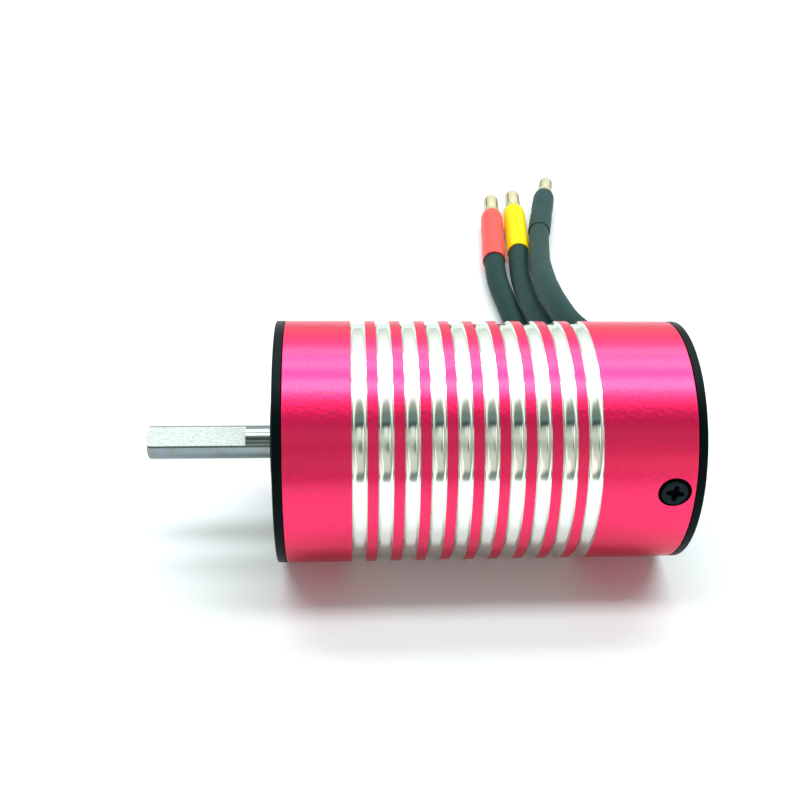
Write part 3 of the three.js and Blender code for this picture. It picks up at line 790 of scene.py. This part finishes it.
def rear_screw(name, angle):
    """A blackened countersunk screw with a chamfered rim and a cross recess with round corners."""
    top = BODY_RADIUS - SCREW_SINK
    under = top - SCREW_HEAD_HEIGHT + 0.05 * MM
    bm = spun(rounded([
        (top - SCREW_LENGTH, 0, 0), (top - SCREW_LENGTH, SCREW_THREAD, 0.15 * MM),
        (under, SCREW_THREAD, 0.1 * MM), (top - 0.3 * MM, SCREW_HEAD, 0.05 * MM),
        (top - 0.12 * MM, SCREW_HEAD, 0.05 * MM), (top, SCREW_HEAD - SCREW_RIM, 0.06 * MM), (top, 0, 0),
    ]), SMALL_STEPS, closed=False)
    place = screw_place(angle) @ Matrix.Rotation(CROSS_TURN, 4, "X")
    made = piece(name, bm, OXIDE, place)
    centre = rounded([
        (top - CROSS_DEPTH - 0.2 * MM, 0, 0), (top - CROSS_DEPTH, CROSS_WIDTH / 2, 0),
        (top + 0.1 * MM, CROSS_WIDTH, 0), (top + 0.1 * MM, 0, 0),
    ])
    along = cross_arm(top, CROSS_REACH, CROSS_WIDTH / 2, 0.06 * MM)
    across = cross_arm(top, CROSS_WIDTH / 2, CROSS_REACH, 0.08 * MM)
    turned = place @ Matrix.Rotation(math.pi / 12, 4, "X")
    # The cross recess's faces take their cutters' nearly black painted shade.
    made = cut(made, [piece("cutter_along", along, PAINTED_RECESS_SHADE, place)])
    made = cut(made, [piece("cutter_across", across, PAINTED_RECESS_SHADE, place)])
    return smoothed(cut(made, [piece("cutter_centre", spun(centre, 12, closed=False), PAINTED_RECESS_SHADE, turned)]))


# Shaft
def shaft():
    """The round shaft with chamfered ends, and the flat that is milled into its front end."""
    bm = spun(rounded([
        (SHAFT_TIP, 0, 0), (SHAFT_TIP, SHAFT_RADIUS, SHAFT_CHAMFER),
        (SHAFT_REAR, SHAFT_RADIUS, SHAFT_CHAMFER), (SHAFT_REAR, 0, 0),
    ]), SMALL_STEPS, closed=False)
    made = piece("shaft_bar", bm, GROUND)
    flat = box_between(
        (SHAFT_TIP - SHAFT_RADIUS, -2 * SHAFT_RADIUS, SHAFT_RADIUS - FLAT_DEPTH),
        (SHAFT_TIP + FLAT_LENGTH, 2 * SHAFT_RADIUS, 2 * SHAFT_RADIUS),
    )
    turn = Matrix.Rotation(math.pi / 2 - FLAT_ELEVATION, 4, "X")
    return smoothed(cut(made, [piece("cutter_flat", flat, MILLED, ON_AXIS @ turn)]))


# Leads, sleeves and plugs
def grommet():
    """A rubber block that fills the window, with a bore for each lead."""
    half = LEAD_SPACING + LEAD_RADIUS + GROMMET_LIP
    depth = LEAD_RADIUS + GROMMET_LIP
    block = box_between((10.5 * MM, -depth, -half), (BODY_RADIUS + OVERRUN, depth, half))
    bevel_along(block, (1, 0, 0), 1.1 * MM, 6)
    made = piece("lead_gland", block, RUBBER, radial(LEAD_ELEVATION, LEAD_STATION))
    top = BODY_RADIUS - GROMMET_SINK
    inside = SPIGOT_BORE + GROMMET_FIT
    start, end = LEAD_STATION - GROMMET_REACH, LEAD_STATION + GROMMET_REACH
    shell = spun(rounded([
        (start, top, 0), (end, top, 0), (end, 2 * BODY_RADIUS, 0), (start, 2 * BODY_RADIUS, 0),
    ]), ROUND_STEPS)
    core = spun(rounded([
        (start, 0, 0), (start, inside, 0), (end, inside, 0), (end, 0, 0),
    ]), ROUND_STEPS, closed=False)
    made = cut(made, [piece("cutter_shell", shell, RUBBER), piece("cutter_core", core, RUBBER)])
    cutters = []
    for i in (-1, 0, 1):
        bore = spun(rounded([
            (5 * MM, 0, 0), (5 * MM, LEAD_RADIUS, 0), (BODY_RADIUS + OVERRUN, LEAD_RADIUS, 0),
            (BODY_RADIUS + OVERRUN, 0, 0),
        ]), SMALL_STEPS, closed=False)
        place = radial(LEAD_ELEVATION, LEAD_STATION) @ Matrix.Translation((0, 0, i * LEAD_SPACING))
        cutters.append(piece(f"cutter_{i + 1}", bore, RUBBER, place))
    return smoothed(cut(made, cutters))


def lead_wire(name, route):
    """The lead's insulation, as a curve through its route."""
    curve = bpy.data.curves.new(name, "CURVE")
    curve.dimensions = "3D"
    curve.resolution_u = 10
    curve.bevel_depth = LEAD_RADIUS
    curve.bevel_resolution = 8
    curve.use_fill_caps = True
    spline = curve.splines.new("BEZIER")
    spline.bezier_points.add(len(route) - 1)
    for knot, place in zip(spline.bezier_points, route):
        knot.co = Vector(place) * MM
        knot.handle_left_type = "AUTO"
        knot.handle_right_type = "AUTO"
    made = bpy.data.objects.new(name, curve)
    bpy.context.scene.collection.objects.link(made)
    curve.materials.append(WIRE)
    return made


def along_sleeve(lead):
    """Where something built along +X lies on a lead's sleeve, and how long the sleeve is."""
    start = Vector(lead["points"][-1]) * MM
    line = Vector(lead["sleeve_to"]) * MM - start
    turn = Vector((1, 0, 0)).rotation_difference(line).to_matrix().to_4x4()
    return Matrix.Translation(start) @ turn, line.length


def sleeve(name, lead, finish):
    """Heat-shrunk tube: over the lead's end, waisted behind the solder cup and drawn in at the plug."""
    place, length = along_sleeve(lead)
    outer, wall = SLEEVE_RADIUS, SLEEVE_WALL
    mouth = BULLET_RADIUS + 0.03 * MM
    cup = length - BULLET_SHOULDER - BULLET_CUP
    bm = spun(rounded([
        (-SLEEVE_LAP, outer - wall, 0), (-SLEEVE_LAP, outer, 0.12 * MM), (cup - 4 * MM, outer, 1.5 * MM),
        (cup - 1.5 * MM, outer - 0.12 * MM, 1.2 * MM), (cup + 1 * MM, outer + 0.04 * MM, 1.2 * MM),
        (length - SLEEVE_TAPER, outer, 0.9 * MM),
        (length - 0.5 * MM, mouth + wall + 0.25 * MM, 0.4 * MM), (length, mouth + wall, 0.12 * MM),
        (length, mouth, 0), (length - 1.5 * MM, mouth, 0.3 * MM),
        (length - SLEEVE_TAPER, outer - wall, 0),
    ]), SMALL_STEPS)
    return smoothed(piece(name, bm, finish, place))


def bullet(name, lead):
    """A plated bullet plug: its solder cup in the sleeve, and its pin, which is slit so that it
    springs, standing out with a round nose. It is cut first and then laid in its sleeve."""
    place, length = along_sleeve(lead)
    cup = SLEEVE_RADIUS - SLEEVE_WALL - 0.12 * MM
    shoulder = length - BULLET_SHOULDER
    tip = length + BULLET_REACH
    waist = tip - SLIT_LENGTH - 0.9 * MM
    bm = spun(rounded([
        (shoulder - BULLET_CUP, 0, 0), (shoulder - BULLET_CUP, cup, 0.1 * MM), (shoulder, cup, 0.2 * MM),
        (shoulder, BULLET_RADIUS, 0.1 * MM), (waist, BULLET_RADIUS, 0.1 * MM),
        (waist + 0.1 * MM, BULLET_NECK, 0.05 * MM), (waist + 0.5 * MM, BULLET_NECK, 0.1 * MM),
        (waist + 1.6 * MM, BULLET_RADIUS, 0.8 * MM), (tip - BULLET_NOSE, BULLET_RADIUS, 0.5 * MM),
        (tip, BULLET_RADIUS * 0.45, 0.5 * MM), (tip, 0, 0),
    ]), SMALL_STEPS, closed=False)
    made = piece(name, bm, GOLD, UNMOVED)
    root, beyond = tip - SLIT_LENGTH, tip + OVERRUN
    cutters = []
    for i in range(BULLET_SLITS // 2):
        slit = box_between((root, -SLIT_WIDTH / 2, -2 * BULLET_RADIUS),
                           (beyond, SLIT_WIDTH / 2, 2 * BULLET_RADIUS))
        turn = Matrix.Rotation((i + 0.5) * 2 * math.pi / BULLET_SLITS, 4, "X")
        cutters.append(piece(f"cutter_{i}", slit, GOLD, turn))
    bore = spun(rounded([
        (root + 0.8 * MM, 0, 0), (root + 0.8 * MM, BULLET_BORE, 0.2 * MM),
        (beyond + 0.5 * MM, BULLET_BORE, 0), (beyond + 0.5 * MM, 0, 0),
    ]), SMALL_STEPS // 2, closed=False)
    cutters.append(piece("cutter_bore", bore, GOLD, UNMOVED))
    made = cut(made, cutters)
    made.data.transform(place)
    return smoothed(made)


# Assembly
dress(can(), "housing", "anodised_can", "can")
dress(front_endbell(), "housing", "black_endbell", "front_endbell")
dress(rear_endbell(), "housing", "black_endbell", "rear_endbell")
for number, angle in enumerate(screw_angles(), 1):
    dress(rear_screw(f"cover_screw_{number}", angle), "housing", "black_screw", f"rear_screw_{number}")
dress(shaft(), "rotor", "ground_steel", "shaft")
dress(grommet(), "housing", "grommet_rubber", "lead_grommet")

TUBES = {"red": RED_TUBE, "yellow": YELLOW_TUBE, "black": BLACK_TUBE}
for key, lead in LEADS.items():
    colour = lead["colour"]
    wire = lead_wire(f"lead_wire_{key}", lead["points"])
    tube = sleeve(f"shrink_tube_{colour}", lead, TUBES[colour])
    plug = bullet(f"bullet_plug_{key}", lead)
    dress(wire, "housing", "silicone", f"lead_{key}")
    dress(tube, "housing", f"sleeve_{colour}", f"sleeve_{colour}")
    dress(plug, "housing", "gold_plate", f"bullet_{key}")

# The inner pieces keep their CAD shapes. Each one's material follows its slot in the record.
INNER = {
    "lamination": LAMINATION, "slot_paper": PAPER, "copper": COPPER, "magnet": NICKEL,
    "banding": BANDING, "turned_brass": BRASS, "bearing_steel": BEARING,
}
for part in frame["record"]["subparts"]:
    if part["material_slot"] in INNER:
        mesh = NODES[part["node"]].data
        mesh.materials.clear()
        mesh.materials.append(INNER[part["material_slot"]])


# Stage
def floor():
    """A white floor, which keeps shadows and shows white to the camera and in the metal."""
    made, tree, _ = material("white_paper")
    rays = add(tree, "ShaderNodeLightPath").node.outputs
    seen = add(tree, "ShaderNodeMath", {
        0: rays["Is Camera Ray"], 1: rays["Is Glossy Ray"],
    }, operation="MAXIMUM")
    seen = add(tree, "ShaderNodeMath", {0: seen, 1: rays["Is Transmission Ray"]}, operation="MAXIMUM")
    glow = add(tree, "ShaderNodeMath", {0: seen, 1: FLOOR_GLOW}, operation="MULTIPLY")
    white = add(tree, "ShaderNodeEmission", {"Color": linear(WHITE), "Strength": glow})
    paper = add(tree, "ShaderNodeBsdfDiffuse", {"Color": linear("#EEF6F7")})
    both = add(tree, "ShaderNodeAddShader", {0: paper, 1: white})
    add(tree, "ShaderNodeOutputMaterial", {"Surface": both})
    bm = bmesh.new()
    bmesh.ops.create_grid(bm, x_segments=1, y_segments=1, size=FLOOR_SIZE)
    lowest = Matrix.Translation((0, 0, AXIS_HEIGHT - BODY_RADIUS))
    piece("floor", bm, made, lowest)


def by_angle(tree, turn, stops):
    """A colour for each angle round the X axis, blended between the stops."""
    colour = add(tree, "ShaderNodeValToRGB", {"Fac": turn})
    elements = colour.node.color_ramp.elements
    while len(elements) < len(stops):
        elements.new(0.5)
    for element, (angle, code) in zip(elements, stops):
        element.position = (angle + 180) / 360
        element.color = linear(code)
    return colour


def world():
    """A white studio that is dim round the camera. The camera itself sees plain white."""
    made = bpy.data.worlds.new("studio")
    bpy.context.scene.world = made
    made.use_nodes = True
    tree = made.node_tree
    tree.nodes.clear()
    heading = add(tree, "ShaderNodeTexCoord", output="Generated")
    side = add(tree, "ShaderNodeSeparateXYZ", {"Vector": heading}, output="X")
    front = add(tree, "ShaderNodeMath", {0: side.node.outputs["Y"], 1: -1.0}, operation="MULTIPLY")
    turn = add(tree, "ShaderNodeMath", {0: side.node.outputs["Z"], 1: front}, operation="ARCTAN2")
    share = add(tree, "ShaderNodeMapRange", {"Value": turn, "From Min": -math.pi, "From Max": math.pi})
    aside = add(tree, "ShaderNodeMath", {0: side}, operation="ABSOLUTE")
    rising = add(tree, "ShaderNodeMapRange", {
        "Value": turn, "From Min": math.radians(DIM_FULL), "From Max": math.radians(DIM_TOP),
        "To Min": DIM_WIDTH, "To Max": -DIM_EDGE,
    })
    past = add(tree, "ShaderNodeMath", {0: rising, 1: aside}, operation="SUBTRACT")
    dim = add(tree, "ShaderNodeMapRange", {
        "Value": past, "From Min": -DIM_EDGE, "From Max": DIM_EDGE,
    }, interpolation_type="SMOOTHSTEP")
    colour = add(tree, "ShaderNodeMix", {
        MIX_FACTOR: dim, MIX_A: by_angle(tree, share, SIDES), MIX_B: by_angle(tree, share, MIDDLE),
    }, output=MIX_RESULT, data_type="RGBA")
    for angle, across, size, soft, code in SPOTS:
        away = math.sqrt(1 - across ** 2)
        turned = math.radians(angle)
        middle = (across, -away * math.cos(turned), away * math.sin(turned))
        near = add(tree, "ShaderNodeVectorMath", {0: heading, 1: middle}, output="Value",
                   operation="DOT_PRODUCT")
        spot = add(tree, "ShaderNodeMapRange", {
            "Value": near, "From Min": math.cos(math.radians(size + soft)),
            "From Max": math.cos(math.radians(size)),
        })
        colour = add(tree, "ShaderNodeMix", {
            MIX_FACTOR: spot, MIX_A: colour, MIX_B: linear(code),
        }, output=MIX_RESULT, data_type="RGBA")
    rays = add(tree, "ShaderNodeLightPath").node.outputs
    level = add(tree, "ShaderNodeMapRange", {
        "Value": rays["Is Diffuse Ray"], "To Min": STUDIO_SEEN, "To Max": STUDIO_LIGHT,
    })
    light = add(tree, "ShaderNodeBackground", {"Color": colour, "Strength": level})
    white = add(tree, "ShaderNodeBackground", {"Color": linear(WHITE), "Strength": 1.0})
    both = add(tree, "ShaderNodeMixShader", {0: rays["Is Camera Ray"], 1: light, 2: white})
    add(tree, "ShaderNodeOutputWorld", {"Surface": both})


def lamp(name, angle, across, level, width, length):
    """A soft lamp over the object, placed by angles seen from the object. Its level is the light
    that it gives a surface that faces it, where 1 is white."""
    turned, aside = math.radians(angle), math.radians(across)
    flat = math.cos(aside)
    away = Vector((math.sin(aside), -flat * math.cos(turned), flat * math.sin(turned)))
    data = bpy.data.lights.new(name, "AREA")
    data.shape = "RECTANGLE"
    half = math.radians(length) / 2
    data.size = 2 * LAMP_DISTANCE * math.tan(half)
    data.size_y = 2 * LAMP_DISTANCE * math.tan(math.radians(width) / 2)
    # The ends of a long lamp give less than its middle does.
    share = (half + math.sin(half) * math.cos(half)) / (2 * math.tan(half))
    data.energy = 4 * math.pi * LAMP_DISTANCE ** 2 * level / share
    made = bpy.data.objects.new(name, data)
    up = away.cross(Vector((1, 0, 0))).normalized()
    basis = Matrix((up.cross(away), up, away)).transposed().to_4x4()
    made.matrix_world = Matrix.Translation(away * LAMP_DISTANCE) @ basis
    made.visible_camera = False
    bpy.context.scene.collection.objects.link(made)


def camera():
    """The photograph's view: from the front, above and to the left."""
    data = bpy.data.cameras.new("camera")
    data.lens = CAMERA_LENS
    data.shift_x, data.shift_y = CAMERA_SHIFT
    data.clip_start = 0.01
    data.clip_end = 20
    made = bpy.data.objects.new("camera", data)
    made.location = CAMERA_PLACE
    made.rotation_euler = CAMERA_TURN
    bpy.context.scene.collection.objects.link(made)
    bpy.context.scene.camera = made


floor()
world()
for row in LAMPS:
    lamp(*row)
camera()
bpy.context.scene.view_settings.view_transform = "Standard"
